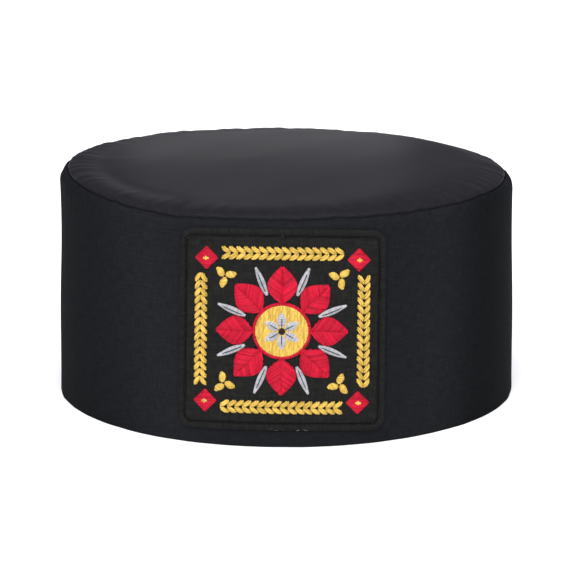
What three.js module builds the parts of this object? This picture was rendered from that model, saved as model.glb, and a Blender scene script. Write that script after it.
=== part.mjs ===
// A soft black pillbox cap of ceremonial pattern, at rest on its hem, in millimetres.
// An upright side band is sewn to a flat crown panel, and a square embroidered patch is sewn to the front.
// +Z is up, the forehead is at -Y, and the origin is the middle of the hem on the surface that it rests on.
import * as THREE from "three";
import { mergeVertices } from "three/addons/utils/BufferGeometryUtils.js";

// Cap sizes. The outline is an oval, a little longer from forehead to nape than from ear to ear.
const hemWidth = 190; // outside, ear to ear
const hemDepth = 200; // outside, forehead to nape
const bandHeight = 91; // hem to crown seam, the mean round the cap
const bandNarrowing = 1.5; // each side, from hem to shoulder
const bandThickness = 2.4; // satin over a stiff interlining
const hemRounding = 0.7;
const shoulderHeight = 5; // soft roll of the band below the crown seam
const seamInset = 3; // from the band's face in to the crown seam
const seamAllowance = 8; // cloth turned down inside, below the seam
const crownThickness = 1.4;
const crownRise = 3.8; // crown above the seam, the mean
const rollWidth = 14; // soft roll of the crown inside the seam
const sewnGap = 0.3; // between pieces that are sewn together

// Patch sizes. It is measured along the band's face, and stitched on a little off centre and askew.
const patchWidth = 82;
const patchHeight = 79.3;
const patchCornerRadius = 5.5;
const patchMiddle = 45.8; // above the hem
const patchShift = -1.8; // towards the wearer's right ear
const patchBow = 1.7; // rise of its middle above its sides
const patchSkew = THREE.MathUtils.degToRad(-0.7);
const groundThickness = 1;
const borderWidth = 2.4;
const borderThickness = 1.5;
const borderGap = 0.35; // sunk stitch line between the ground and the border

// Embroidery sizes, raised on the patch round its middle.
const threadHeight = 0.8;
const edgeHeight = 0.45; // of the thread at a motif's edge
const frameMargin = 6.8; // from the patch's edge in to the square frame
const frameBarWidth = 5;
const frameBarGap = 1.2; // between a bar's end and the diamond in the corner
const diamondRadius = 4.6;
const eyeRadius = 10;
const petalRoot = 11;
const petalTip = 25.5;
const petalWidth = 11.4;
const leafRoot = 15;
const leafTip = 27;
const leafWidth = 2.4;
const rosettePetals = 8;
const sprigRadius = 4.6;
const sprigLobe = 1.5; // how far a lobe stands out past the sprig's mean radius
const sprigSetback = 10.3; // from the corner diamond's middle, back towards the rosette

// How far the crown seam and the crown itself lie above their mean, as shares of the band's height.
// Rows go round the cap in equal steps from the forehead, by way of the wearer's left ear.
const edgeLifts = [
  { turn: 0, seam: -0.0176, crown: -0.015 },
  { turn: 45, seam: -0.0154, crown: -0.01 },
  { turn: 90, seam: -0.0088, crown: 0.002 },
  { turn: 135, seam: -0.0132, crown: 0.003 },
  { turn: 180, seam: 0.002, crown: 0.004 },
  { turn: 225, seam: 0.012, crown: -0.006 },
  { turn: 270, seam: 0.0264, crown: -0.004 },
  { turn: 315, seam: -0.0088, crown: -0.01 },
];

// Puckers of the crown, running in from the seam. Turn and spread are in degrees, reach is a share of
// the hem's width, and depth a share of the crown's thickness.
const crownPuckers = [
  { turn: 258, spread: 6, reach: 0.16, depth: 0.5 },
  { turn: 272, spread: 5, reach: 0.2, depth: -0.55 },
  { turn: 284, spread: 6, reach: 0.15, depth: 0.45 },
  { turn: 300, spread: 7, reach: 0.14, depth: -0.35 },
  { turn: 72, spread: 6, reach: 0.15, depth: -0.5 },
  { turn: 86, spread: 6, reach: 0.18, depth: 0.5 },
  { turn: 98, spread: 5, reach: 0.14, depth: -0.45 },
  { turn: 150, spread: 8, reach: 0.16, depth: 0.35 },
  { turn: 196, spread: 8, reach: 0.15, depth: -0.35 },
];

// Soft dents and swellings of the band. Height and tall are shares of the band's height, and depth is a
// share of its thickness, outward if positive.
const bandDents = [
  { turn: 292, spread: 16, height: 0.74, tall: 0.2, depth: -0.35 },
  { turn: 62, spread: 15, height: 0.82, tall: 0.18, depth: -0.3 },
  { turn: 108, spread: 18, height: 0.4, tall: 0.3, depth: 0.25 },
  { turn: 158, spread: 16, height: 0.55, tall: 0.3, depth: -0.35 },
  { turn: 214, spread: 20, height: 0.35, tall: 0.3, depth: 0.3 },
  { turn: 250, spread: 14, height: 0.6, tall: 0.25, depth: -0.25 },
];

const turnSegments = 72;
const fullTurn = 2 * Math.PI;
const samePoint = 1e-3; // points nearer than this are one

// The value of one column of a table between its rows, on a smooth closed curve through them.
function roundTheCap(rows, column, turn) {
  const place = (((turn / fullTurn) % 1) + 1) % 1 * rows.length;
  const before = Math.floor(place);
  const share = place - before;
  const at = (step) => rows[(before + step + rows.length) % rows.length][column];
  const [a, b, c, d] = [at(-1), at(0), at(1), at(2)];
  const slope = (c - a) / 2;
  const nextSlope = (d - b) / 2;
  const rise = c - b;
  const bend = 3 * rise - 2 * slope - nextSlope;
  const twist = slope + nextSlope - 2 * rise;
  return b + share * (slope + share * (bend + share * twist));
}

function turnBetween(turn, degrees) {
  const apart = turn - THREE.MathUtils.degToRad(degrees);
  return THREE.MathUtils.radToDeg(Math.atan2(Math.sin(apart), Math.cos(apart)));
}

const bell = (x) => Math.exp(-x * x);
const seamRadius = hemWidth / 2 - bandNarrowing - seamInset;

// A point of the plan, at a distance from the axis taken along the ear-to-ear line.
function planPoint(radius, turn) {
  const longer = ((hemDepth - hemWidth) / 2) * Math.min(1, radius / seamRadius);
  return { x: radius * Math.sin(turn), y: -(radius + longer) * Math.cos(turn) };
}

const seamLift = (turn) => bandHeight * roundTheCap(edgeLifts, "seam", turn);
const crownLift = (turn) => bandHeight * roundTheCap(edgeLifts, "crown", turn);

// How far the band's face stands out at a height above the hem, against the hem's own outline. Its inner
// side is as plain as the stiff interlining, so the dents die away with the depth behind the face.
function bandStandOff(turn, height, depth = 0) {
  const seamHeight = bandHeight + seamLift(turn);
  const shoulder = seamHeight - shoulderHeight;
  const up = THREE.MathUtils.clamp((height - shoulder) / shoulderHeight, 0, 1);
  let dented = 0;
  for (const dent of bandDents) {
    const across = turnBetween(turn, dent.turn) / dent.spread;
    const along = (height / seamHeight - dent.height) / dent.tall;
    dented += dent.depth * bandThickness * bell(across) * bell(along);
  }
  const narrowing = bandNarrowing * Math.min(1, height / shoulder);
  const shoulderRoll = seamInset * (1 - Math.sqrt(1 - up * up));
  const dentShare = (1 - up) * Math.max(0, 1 - depth / bandThickness);
  return dented * dentShare - narrowing - shoulderRoll;
}

// Moves each corner of a closed three.js geometry to where place puts it.
function moulded(geometry, place) {
  geometry.deleteAttribute("normal");
  geometry.deleteAttribute("uv");
  const merged = mergeVertices(geometry, samePoint);
  const position = merged.getAttribute("position");
  for (let i = 0; i < position.count; i++) {
    const moved = place(position.getX(i), position.getY(i), position.getZ(i));
    position.setXYZ(i, moved.x, moved.y, moved.z);
  }
  merged.computeVertexNormals();
  return merged;
}

// A closed profile turned about the axis, then fitted to the cap. The profile is x out, y up.
function roundSolid(profile, place) {
  const lathe = new THREE.LatheGeometry(profile, turnSegments);
  return moulded(lathe, (x, y, z) => place(Math.hypot(x, z), y, Math.atan2(x, z)));
}

// The side band: outside wall with its soft shoulder, the cloth turned in at the seam, and the hem.
// The profile's x is the depth behind the band's face, and its y a height above the hem.
function sideBand() {
  const shoulder = bandHeight - shoulderHeight;
  const foot = hemRounding * (1 - Math.SQRT1_2);
  const shoulderSteps = [0.45, 0.75, 0.93, 1];
  const wallSteps = [0.14, 0.28, 0.42, 0.56, 0.7, 0.85, 1];
  const outside = [
    [0, hemRounding],
    ...wallSteps.map((share) => [0, hemRounding + (shoulder - hemRounding) * share]),
    ...shoulderSteps.map((share) => [0, shoulder + shoulderHeight * share]),
  ];
  const allowanceFoot = bandHeight - seamAllowance;
  const inside = [
    [seamInset, allowanceFoot],
    [bandThickness, allowanceFoot - (seamInset - bandThickness)],
    ...[0.75, 0.5, 0.25].map((share) => [bandThickness, allowanceFoot * share]),
    [bandThickness, hemRounding],
    [bandThickness - foot, foot],
    [bandThickness - hemRounding, 0],
    [hemRounding, 0],
    [foot, foot],
  ];
  // Depth is held as radius, so that the face lies at the hem's half width.
  const profile = [...outside, ...inside, outside[0]].map(
    ([depth, height]) => new THREE.Vector2(hemWidth / 2 - depth, height),
  );
  return roundSolid(profile, (radius, height, turn) => {
    const depth = hemWidth / 2 - radius;
    const seamHeight = bandHeight + seamLift(turn);
    const z = (height * seamHeight) / bandHeight;
    const faceHeight = depth > samePoint ? Math.min(z, seamHeight - shoulderHeight) : z;
    return { ...planPoint(radius + bandStandOff(turn, faceHeight, depth), turn), z };
  });
}

// The crown panel: a soft disc that rolls down to the seam, with its edge turned down inside the band.
function crownPanel() {
  const edge = seamRadius - sewnGap;
  const level = bandHeight + crownRise;
  const rollSteps = [1, 0.7, 0.42, 0.2, 0.06, 0];
  const roll = (share) => level - crownRise * (1 - Math.sqrt(1 - (1 - share) ** 2));
  const discSteps = [0.25, 0.5, 0.75];
  const discRadius = edge - rollWidth;
  const outside = [
    [0, level],
    ...discSteps.map((share) => [discRadius * share, level]),
    ...rollSteps.map((share) => [edge - rollWidth * share, roll(share)]),
    [edge, bandHeight - seamAllowance],
  ];
  const inside = [
    [edge - crownThickness, bandHeight - seamAllowance],
    [edge - crownThickness, bandHeight - 2 * crownThickness],
    ...[0.2, 0.42, 0.7, 1].map((share) => [
      edge - rollWidth * share - crownThickness * (1 - share),
      roll(share) - crownThickness,
    ]),
    ...discSteps.toReversed().map((share) => [discRadius * share, level - crownThickness]),
    [0, level - crownThickness],
  ];
  const profile = [...outside, ...inside]
    .toReversed()
    .map(([radius, height]) => new THREE.Vector2(radius, height));
  return roundSolid(profile, (radius, height, turn) => {
    const inward = THREE.MathUtils.clamp((edge - radius) / rollWidth, 0, 1);
    const discLift = crownLift(turn) * Math.min(1, radius / discRadius);
    const lift = THREE.MathUtils.lerp(seamLift(turn), discLift, THREE.MathUtils.smoothstep(inward, 0, 1));
    let pucker = 0;
    for (const fold of crownPuckers) {
      const along = Math.max(0, edge - radius) / (fold.reach * hemWidth);
      if (along < 1) {
        const across = turnBetween(turn, fold.turn) / fold.spread;
        pucker += fold.depth * crownThickness * bell(across) * Math.sin(Math.PI * Math.sqrt(along));
      }
    }
    return { ...planPoint(radius, turn), z: height + lift + pucker };
  });
}

// A point of the patch, from its own middle: u across to the viewer's right, v up, and how far it stands
// out from the band's face.
function onPatch(u, v, standOff) {
  const across = u * Math.cos(patchSkew) - v * Math.sin(patchSkew);
  const up = u * Math.sin(patchSkew) + v * Math.cos(patchSkew);
  const turn = (patchShift + across) / (hemWidth / 2 - bandNarrowing / 2);
  const bow = patchBow * (0.5 - (across / (patchWidth / 2)) ** 2);
  const z = patchMiddle + up + bow;
  const radius = hemWidth / 2 + bandStandOff(turn, z) + standOff;
  return { ...planPoint(radius, turn), z };
}

function atAngle(radius, angle) {
  return new THREE.Vector2(radius * Math.cos(angle), radius * Math.sin(angle));
}

const groundFoot = sewnGap;
const groundFace = groundFoot + groundThickness;
const threadFoot = groundFace + sewnGap;

// Half the width of a rounded square at a height from its middle.
function roundedHalfWidth(halfWidth, halfHeight, radius, v) {
  const intoCorner = Math.max(0, Math.abs(v) - (halfHeight - radius));
  return halfWidth - radius + Math.sqrt(Math.max(0, radius * radius - intoCorner * intoCorner));
}

// The patch's twill ground, inside the sunk stitch line.
function patchGround() {
  const inset = borderWidth + borderGap;
  const halfWidth = patchWidth / 2 - inset;
  const halfHeight = patchHeight / 2 - inset;
  const radius = patchCornerRadius - inset;
  const columns = 12;
  const rows = 12;
  const lattice = new THREE.BoxGeometry(2, 2, 1, columns, rows, 1);
  const cornerStart = 1 - 2 / rows;
  return moulded(lattice, (x, y, z) => {
    const inCorner = Math.abs(y) > cornerStart + samePoint;
    const v = inCorner
      ? Math.sign(y) * halfHeight
      : (y / cornerStart) * (halfHeight - radius * (1 - Math.SQRT1_2));
    const u = x * roundedHalfWidth(halfWidth, halfHeight, radius, v);
    return onPatch(u, v, z > 0 ? groundFace : groundFoot);
  });
}

// The patch's thread-covered border: a flat cord with a rounded face that runs round the edge. Each
// quarter of its way is a straight side and then the corner at that side's end.
function patchBorder() {
  const radius = patchCornerRadius - borderWidth / 2;
  const middleUp = patchHeight / 2 - patchCornerRadius;
  const middleRight = patchWidth / 2 - patchCornerRadius;
  const cornerMiddles = [
    new THREE.Vector2(middleRight, middleUp),
    new THREE.Vector2(-middleRight, middleUp),
    new THREE.Vector2(-middleRight, -middleUp),
    new THREE.Vector2(middleRight, -middleUp),
  ];
  const cornerSteps = 6;
  const sideSteps = 10;
  const quarterSteps = cornerSteps + sideSteps;
  const sectionSides = 6;
  const ring = new THREE.TorusGeometry(2, 1, sectionSides, 4 * quarterSteps);
  return moulded(ring, (x, y, z) => {
    const step = Math.round(((Math.atan2(y, x) / fullTurn + 1) % 1) * 4 * quarterSteps);
    const quarter = Math.floor(step / quarterSteps) % 4;
    const within = step % quarterSteps;
    const alongSide = Math.min(1, within / sideSteps);
    const intoCorner = Math.max(0, (within - sideSteps) / cornerSteps);
    const middle = cornerMiddles[(quarter + 3) % 4].clone().lerp(cornerMiddles[quarter], alongSide);
    const outwards = ((quarter + intoCorner) * Math.PI) / 2;
    const reach = radius + (Math.hypot(x, y) - 2) * (borderWidth / 2);
    const edge = middle.add(atAngle(reach, outwards));
    return onPatch(edge.x, edge.y, groundFoot + (borderThickness * (z + 1)) / 2);
  });
}

// A strip of satin stitch from one end of a line to the other, lower at its sides. The shape gives its
// half width along the line.
function stitchedStrip(from, to, halfWidthAt, lengthSteps) {
  const line = new THREE.Vector2().subVectors(to, from);
  const side = new THREE.Vector2(-line.y, line.x).normalize();
  const lattice = new THREE.BoxGeometry(2, 1, 1, 2, lengthSteps, 1);
  return moulded(lattice, (x, y, z) => {
    const share = y + 0.5;
    const out = -x * halfWidthAt(share);
    const u = from.x + line.x * share + side.x * out;
    const v = from.y + line.y * share + side.y * out;
    const top = THREE.MathUtils.lerp(threadHeight, edgeHeight, x * x);
    return onPatch(u, v, threadFoot + (z > 0 ? top : 0));
  });
}

// A stitched patch round a point, whose edge lies where radiusAt says for each angle.
function stitchedSpot(centre, radiusAt, sides) {
  const disc = new THREE.CylinderGeometry(1, 1, 1, sides, 1);
  return moulded(disc, (x, y, z) => {
    const outward = Math.hypot(x, z);
    const angle = Math.atan2(-z, x);
    const spot = centre.clone().add(atAngle(outward * radiusAt(angle), angle));
    const top = THREE.MathUtils.lerp(threadHeight, edgeHeight, outward);
    return onPatch(spot.x, spot.y, threadFoot + (y > 0 ? top : 0));
  });
}

// Half widths along a petal and a leaf, both widest a little nearer the root.
const bluntEnd = 0.25;
const swollen = (share, width) => bluntEnd + (width / 2 - bluntEnd) * Math.sin(Math.PI * share ** 0.87);
const petalShape = (share) => swollen(share, petalWidth);
const leafShape = (share) => swollen(share, leafWidth);

const blackSatin = new THREE.MeshStandardMaterial({ color: 0x1c1d20, roughness: 0.5 });
const blackTwill = new THREE.MeshStandardMaterial({ color: 0x1a1a19, roughness: 0.9 });
const blackThread = new THREE.MeshStandardMaterial({ color: 0x161616, roughness: 0.7 });
const goldThread = new THREE.MeshStandardMaterial({ color: 0xe3b957, roughness: 0.45 });
const redThread = new THREE.MeshStandardMaterial({ color: 0xc92a45, roughness: 0.5 });
const whiteThread = new THREE.MeshStandardMaterial({ color: 0xcfd0d4, roughness: 0.5 });

const cap = new THREE.Group();

function add(name, geometry, material) {
  const mesh = new THREE.Mesh(geometry, material);
  mesh.name = name;
  cap.add(mesh);
}

add("side_band", sideBand(), blackSatin);
add("crown_panel", crownPanel(), blackSatin);
add("patch_ground", patchGround(), blackTwill);
add("patch_border", patchBorder(), blackThread);

// The square frame: four gold bars between four red diamonds at its corners.
const cornerRight = patchWidth / 2 - frameMargin - diamondRadius;
const cornerUp = patchHeight / 2 - frameMargin - diamondRadius;
const corners = [
  new THREE.Vector2(cornerRight, -cornerUp),
  new THREE.Vector2(cornerRight, cornerUp),
  new THREE.Vector2(-cornerRight, cornerUp),
  new THREE.Vector2(-cornerRight, -cornerUp),
];
const diamondShape = (angle) => diamondRadius / (Math.abs(Math.cos(angle)) + Math.abs(Math.sin(angle)));
corners.forEach((corner, i) => {
  const next = corners[(i + 1) % corners.length];
  const along = new THREE.Vector2().subVectors(next, corner).normalize();
  const outwards = new THREE.Vector2(along.y, -along.x).multiplyScalar(diamondRadius - frameBarWidth / 2);
  const barEnd = diamondRadius + frameBarGap;
  const start = corner.clone().addScaledVector(along, barEnd).add(outwards);
  const end = next.clone().addScaledVector(along, -barEnd).add(outwards);
  add(`frame_bar_${i + 1}`, stitchedStrip(start, end, () => frameBarWidth / 2, 8), goldThread);
  add(`corner_diamond_${i + 1}`, stitchedSpot(corner, diamondShape, 8), redThread);
});

// The rosette: red petals with white leaves between them, round a gold eye.
for (let i = 0; i < rosettePetals; i++) {
  const angle = (fullTurn * i) / rosettePetals;
  const between = angle + Math.PI / rosettePetals;
  const petal = stitchedStrip(atAngle(petalRoot, angle), atAngle(petalTip, angle), petalShape, 7);
  const leaf = stitchedStrip(atAngle(leafRoot, between), atAngle(leafTip, between), leafShape, 5);
  add(`petal_${i + 1}`, petal, redThread);
  add(`leaf_${i + 1}`, leaf, whiteThread);
}
add("rosette_eye", stitchedSpot(new THREE.Vector2(), () => eyeRadius, 20), goldThread);

// A gold three-lobed sprig between the rosette and each corner, pointing outwards.
corners.forEach((corner, i) => {
  const outwards = Math.atan2(corner.y, corner.x);
  const lobes = (angle) => sprigRadius - sprigLobe + sprigLobe * Math.cos(3 * (angle - outwards));
  const middle = corner.clone().setLength(corner.length() - sprigSetback);
  add(`corner_sprig_${i + 1}`, stitchedSpot(middle, lobes, 24), goldThread);
});

export default cap;
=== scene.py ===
# A black satin crown cap with an embroidered patch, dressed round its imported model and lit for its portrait.
import math

import bpy
import numpy as np
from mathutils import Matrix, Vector


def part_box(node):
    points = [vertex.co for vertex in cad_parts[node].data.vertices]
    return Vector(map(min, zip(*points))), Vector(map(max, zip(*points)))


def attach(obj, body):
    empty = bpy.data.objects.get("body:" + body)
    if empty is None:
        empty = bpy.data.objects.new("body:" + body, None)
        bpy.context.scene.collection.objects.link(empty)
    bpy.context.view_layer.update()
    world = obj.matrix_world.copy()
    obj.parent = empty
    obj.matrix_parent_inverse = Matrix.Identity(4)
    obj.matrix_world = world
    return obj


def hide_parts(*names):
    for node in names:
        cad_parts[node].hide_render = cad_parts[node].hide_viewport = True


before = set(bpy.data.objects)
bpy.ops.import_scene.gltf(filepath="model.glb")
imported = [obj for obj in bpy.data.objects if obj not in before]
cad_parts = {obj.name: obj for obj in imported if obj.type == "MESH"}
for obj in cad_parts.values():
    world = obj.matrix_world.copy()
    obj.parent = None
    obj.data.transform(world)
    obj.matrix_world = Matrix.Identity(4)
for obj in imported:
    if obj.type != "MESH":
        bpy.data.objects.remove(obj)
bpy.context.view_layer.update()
tau = 2 * math.pi

# Camera. The photograph looks at the forehead through a long lens, from a little above the crown.
camera_distance = 1.200
camera_elevation = math.radians(12.7)
camera_lens_mm = 179.7
camera_aim = Vector((0, 0, 0.0416))
camera_away = Vector((0, -math.cos(camera_elevation), math.sin(camera_elevation)))


def placed(name, data):
    made = bpy.data.objects.new(name, data)
    bpy.context.collection.objects.link(made)
    return made


camera = placed("camera", bpy.data.cameras.new("camera"))
camera.data.lens = camera_lens_mm
camera.location = camera_aim + camera_away * camera_distance
camera.rotation_euler = (-camera_away).to_track_quat("-Z", "Y").to_euler()
bpy.context.scene.camera = camera

# Studio. The cap stands on a pale matt table that runs out of sight, under one very soft overhead sun. A
# large soft box stands beside the camera, a small one low behind the cap shines along its crown, and the
# room all round is dim and pale.
floor_half_width = 12.0
floor_colour = (0.97, 0.97, 0.97, 1)
room_colour = (0.84, 0.84, 1.0, 1)
room_strength = 0.26
sun_strength = 3.95
sun_angle = math.radians(80)
sun_tilt = (math.radians(22), 0, math.radians(8))
front_light_power = 22.0
front_light_size = (1.0, 1.0)
front_light_place = Vector((-0.30, -1.7, 0.75))
back_light_power = 0.021
back_light_size = (0.14, 0.05)
back_light_place = Vector((-0.010, 0.200, 0.134))

bpy.context.scene.view_settings.view_transform = "Standard"
floor_mesh = bpy.data.meshes.new("floor")
floor_sides = ((-1, -1), (1, -1), (1, 1), (-1, 1))
floor_corners = [(x * floor_half_width, y * floor_half_width, 0) for x, y in floor_sides]
floor_mesh.from_pydata(floor_corners, [], [(0, 1, 2, 3)])
floor = placed("floor", floor_mesh)


# A new material, its node tree and its Principled shader.
def new_finish(name):
    finish = bpy.data.materials.new(name)
    finish.use_nodes = True
    return finish, finish.node_tree, finish.node_tree.nodes["Principled BSDF"]


# Sets plain values on a node's named inputs.
def set_inputs(node, **values):
    for socket_name, value in values.items():
        node.inputs[socket_name.replace("_", " ")].default_value = value


floor_finish, _, floor_shader = new_finish("pale_table")
set_inputs(floor_shader, Base_Color=floor_colour, Roughness=0.9, Specular_IOR_Level=0.0)
floor_mesh.materials.append(floor_finish)

room = bpy.data.worlds.new("pale_room")
room.use_nodes = True
set_inputs(room.node_tree.nodes["Background"], Color=room_colour, Strength=room_strength)
bpy.context.scene.world = room

sun = placed("overhead_sun", bpy.data.lights.new("overhead_sun", "SUN"))
sun.data.energy = sun_strength
sun.data.angle = sun_angle
sun.rotation_euler = sun_tilt


def soft_box(name, power, size, place):
    light = placed(name, bpy.data.lights.new(name, "AREA"))
    light.data.energy = power
    light.data.shape = "RECTANGLE"
    light.data.size, light.data.size_y = size
    light.location = place
    light.rotation_euler = (camera_aim - place).to_track_quat("-Z", "Y").to_euler()
    light.visible_camera = False


soft_box("front_soft_box", front_light_power, front_light_size, front_light_place)
soft_box("back_soft_box", back_light_power, back_light_size, back_light_place)

# Side band. The upright wall is black satin over a stiff interlining, a little narrower at the top, rolled
# over softly to the crown seam and folded up at the hem. It is joined in one upright seam at the nape.
band_low, band_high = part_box("side_band")
hem_half_width = (band_high.x - band_low.x) / 2
hem_half_depth = (band_high.y - band_low.y) / 2
band_height = 0.0910
band_narrowing = 0.0015
band_thickness = 0.0024
hem_rounding = 0.0007
shoulder_height = 0.0050
seam_inset = 0.0030
seam_allowance = 0.0080
seam_dip = 0.0002
nape_seam_depth = 0.0010
nape_seam_half_width = 0.0010
seam_radius = hem_half_width - band_narrowing - seam_inset

# Heights of the crown seam and of the crown above their mean, as shares of the band's height, in equal
# steps of turn from the forehead by way of the wearer's left ear.
seam_lifts = np.array([-0.0176, -0.0154, -0.0088, -0.0132, 0.0020, 0.0150, 0.0280, -0.0088])
crown_lifts = np.array([-0.024, -0.012, 0.002, 0.001, -0.009, 0.000, -0.004, -0.035])

# Soft dents of the band: turn and spread in degrees, height and tallness as shares of the band's height, and
# depth in metres, outward if positive.
band_dents = [
    (292, 16, 0.74, 0.20, -0.00084),
    (62, 15, 0.82, 0.18, -0.00072),
    (108, 18, 0.40, 0.30, 0.00060),
    (158, 16, 0.55, 0.30, -0.00084),
    (214, 20, 0.35, 0.30, 0.00072),
    (250, 14, 0.60, 0.25, -0.00060),
]


def round_the_cap(shares, turn):
    place = (turn / tau) % 1 * len(shares)
    before = np.floor(place).astype(int)
    share = place - before
    a, b, c, d = (shares[(before + step) % len(shares)] for step in (-1, 0, 1, 2))
    slope, next_slope, rise = (c - a) / 2, (d - b) / 2, c - b
    bend = 3 * rise - 2 * slope - next_slope
    twist = slope + next_slope - 2 * rise
    return b + share * (slope + share * (bend + share * twist))


def turn_between(turn, degrees):
    apart = turn - math.radians(degrees)
    return np.degrees(np.arctan2(np.sin(apart), np.cos(apart)))


def bell(x):
    return np.exp(-x * x)


# A gentle unevenness round the cap, between -1 and 1, made of a few waves that close on themselves.
def unevenness(turn, waves, seed):
    chance = np.random.default_rng(seed)
    total = sum(np.sin(wave * turn + chance.uniform(0, tau)) for wave in waves)
    return total / len(waves)


def plan_point(radius, turn, height):
    longer = (hem_half_depth - hem_half_width) * np.minimum(1, radius / seam_radius)
    across = radius * np.sin(turn)
    along = -(radius + longer) * np.cos(turn)
    return np.stack(np.broadcast_arrays(across, along, height), axis=-1)


def seam_lift(turn):
    return band_height * round_the_cap(seam_lifts, turn)


seam_slow_wave = 0.00035
seam_quick_wave = 0.00020
sag_turn, sag_spread, sag_depth = 330, 15, 0.0012


# Small hand-sewn waves of the crown seam and its sag over the wearer's right eye, for band and crown alike.
def seam_wave(turn):
    slow = seam_slow_wave * unevenness(turn, (9, 14, 23, 31), 5)
    quick = seam_quick_wave * unevenness(turn, (47, 61, 83), 6)
    return slow + quick - sag_depth * bell(turn_between(turn, sag_turn) / sag_spread)


def band_stand_off(turn, height, depth=0.0):
    seam_height = band_height + seam_lift(turn)
    shoulder = seam_height - shoulder_height
    up = np.clip((height - shoulder) / shoulder_height, 0, 1)
    dented = 0
    for dent_turn, spread, dent_height, tallness, dent_depth in band_dents:
        across = turn_between(turn, dent_turn) / spread
        along = (height / seam_height - dent_height) / tallness
        dented = dented + dent_depth * bell(across) * bell(along)
    narrowing = band_narrowing * np.minimum(1, height / shoulder)
    shoulder_roll = seam_inset * (1 - np.sqrt(1 - up * up))
    dent_share = (1 - up) * np.maximum(0, 1 - depth / band_thickness)
    return dented * dent_share - narrowing - shoulder_roll


gather_depth, gather_reach = 0.00052, 0.0042
pull_depth, pull_reach = 0.00036, 0.015
drag_depth, drag_reach = 0.00016, 0.012
wander_depth = 0.00020


# The satin gathers a little where it is sewn: short upright ripples that die away down the wall, broader
# pulls, and a few shallow drag lines along the folded hem. The whole wall wanders very slightly.
def band_gathers(turn, height):
    seam_height = band_height + seam_lift(turn)
    below = np.maximum(0, seam_height - shoulder_height * 0.6 - height)
    drawn_in = 0.55 + 0.45 * np.sin(5 * turn + 1.2) * np.sin(3 * turn - 0.7)
    fine = gather_depth * drawn_in * unevenness(turn, (61, 83, 104, 127), 11) * np.exp(-below / gather_reach)
    broad = pull_depth * unevenness(turn, (13, 19, 29, 37), 12) * np.exp(-below / pull_reach)
    drag = drag_depth * unevenness(turn, (17, 26, 41), 13) * np.exp(-height / drag_reach)
    wander = wander_depth * np.sin(3 * turn + 70 * height) * np.sin(5 * turn - 45 * height + 1)
    fade = np.clip((seam_height - height) / shoulder_height, 0, 1)
    return (fine + broad + drag + wander) * fade


# A closed skin through rings of points. Rings run round the cap; the last ring joins the first unless the
# skin ends in a pole at each end. The cloth map is in millimetres, round the cap and along the section.
def skin_of_rings(name, rings, cloth, poles):
    ring_count, around = rings.shape[:2]
    points = rings.reshape(-1, 3)
    here = np.arange(around)
    onward = (here + 1) % around
    last = ring_count - 1 if poles else ring_count
    faces, face_cloth = [], []
    for ring in range(last):
        foot, head = ring * around, (ring + 1) % ring_count * around
        faces.extend(np.stack([foot + here, foot + onward, head + onward, head + here], axis=1).tolist())
        low, high = cloth[ring], cloth[ring + 1]
        face_cloth.append(np.stack([low[:-1], low[1:], high[1:], high[:-1]], axis=1).reshape(-1, 2))
    if poles:
        first_pole, last_pole = len(points), len(points) + 1
        points = np.vstack([points, rings[0].mean(axis=0), rings[-1].mean(axis=0)])
        final = (ring_count - 1) * around
        faces.extend(np.stack([np.full(around, first_pole), onward, here], axis=1).tolist())
        faces.extend(np.stack([np.full(around, last_pole), final + here, final + onward], axis=1).tolist())
        for ring_cloth in (cloth[0], cloth[-1]):
            face_cloth.append(np.repeat(ring_cloth[:-1], 3, axis=0))
    mesh = bpy.data.meshes.new(name)
    mesh.from_pydata(points.tolist(), [], faces)
    mesh.uv_layers.new(name="cloth").data.foreach_set("uv", np.concatenate(face_cloth).ravel().astype("f"))
    mesh.shade_smooth()
    return placed(name, mesh)


band_around = 640
band_turns = np.arange(band_around) / band_around * tau
allowance_foot = band_height - seam_allowance
shoulder_foot = band_height - shoulder_height
inside_top = allowance_foot - seam_inset + band_thickness
hem_arc = [math.radians(angle) for angle in (0, 30, 60, 90)]

# The section, as depth behind the face and height above the hem: up the face, over the shoulder, down the
# turned-in cloth and the inside, and round the hem.
band_section = (
    [(0, hem_rounding + (shoulder_foot - hem_rounding) * share) for share in np.linspace(0, 1, 56)]
    + [(0, shoulder_foot + shoulder_height * math.sin(angle)) for angle in np.linspace(0.1, tau / 4, 15)]
    + [(seam_inset, band_height - seam_allowance * share) for share in np.linspace(0.04, 1, 6)]
    + [(band_thickness, inside_top * share) for share in np.linspace(1, 0.05, 14)]
    + [
        (band_thickness - hem_rounding * (1 - math.cos(angle)), hem_rounding * (1 - math.sin(angle)))
        for angle in hem_arc
    ]
    + [
        (hem_rounding * (1 - math.sin(angle)), hem_rounding * (1 - math.cos(angle)))
        for angle in hem_arc[:-1]
    ]
)


def band_ring(depth, height):
    seam_height = band_height + seam_lift(band_turns)
    z = height * seam_height / band_height
    face_height = z if depth == 0 else np.minimum(z, seam_height - shoulder_height)
    stand_off = band_stand_off(band_turns, face_height, depth)
    nape = bell(turn_between(band_turns, 180) * math.radians(1) * hem_half_depth / nape_seam_half_width)
    if depth < hem_rounding:
        stand_off = stand_off + band_gathers(band_turns, z) - nape_seam_depth * nape
    rim_share = np.clip((z - seam_height + shoulder_height) / shoulder_height, 0, 1)
    dip = seam_dip * rim_share**9 if depth == 0 else seam_dip
    radius = hem_half_width - depth + stand_off
    return plan_point(radius, band_turns, z + rim_share * seam_wave(band_turns) - dip)


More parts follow.
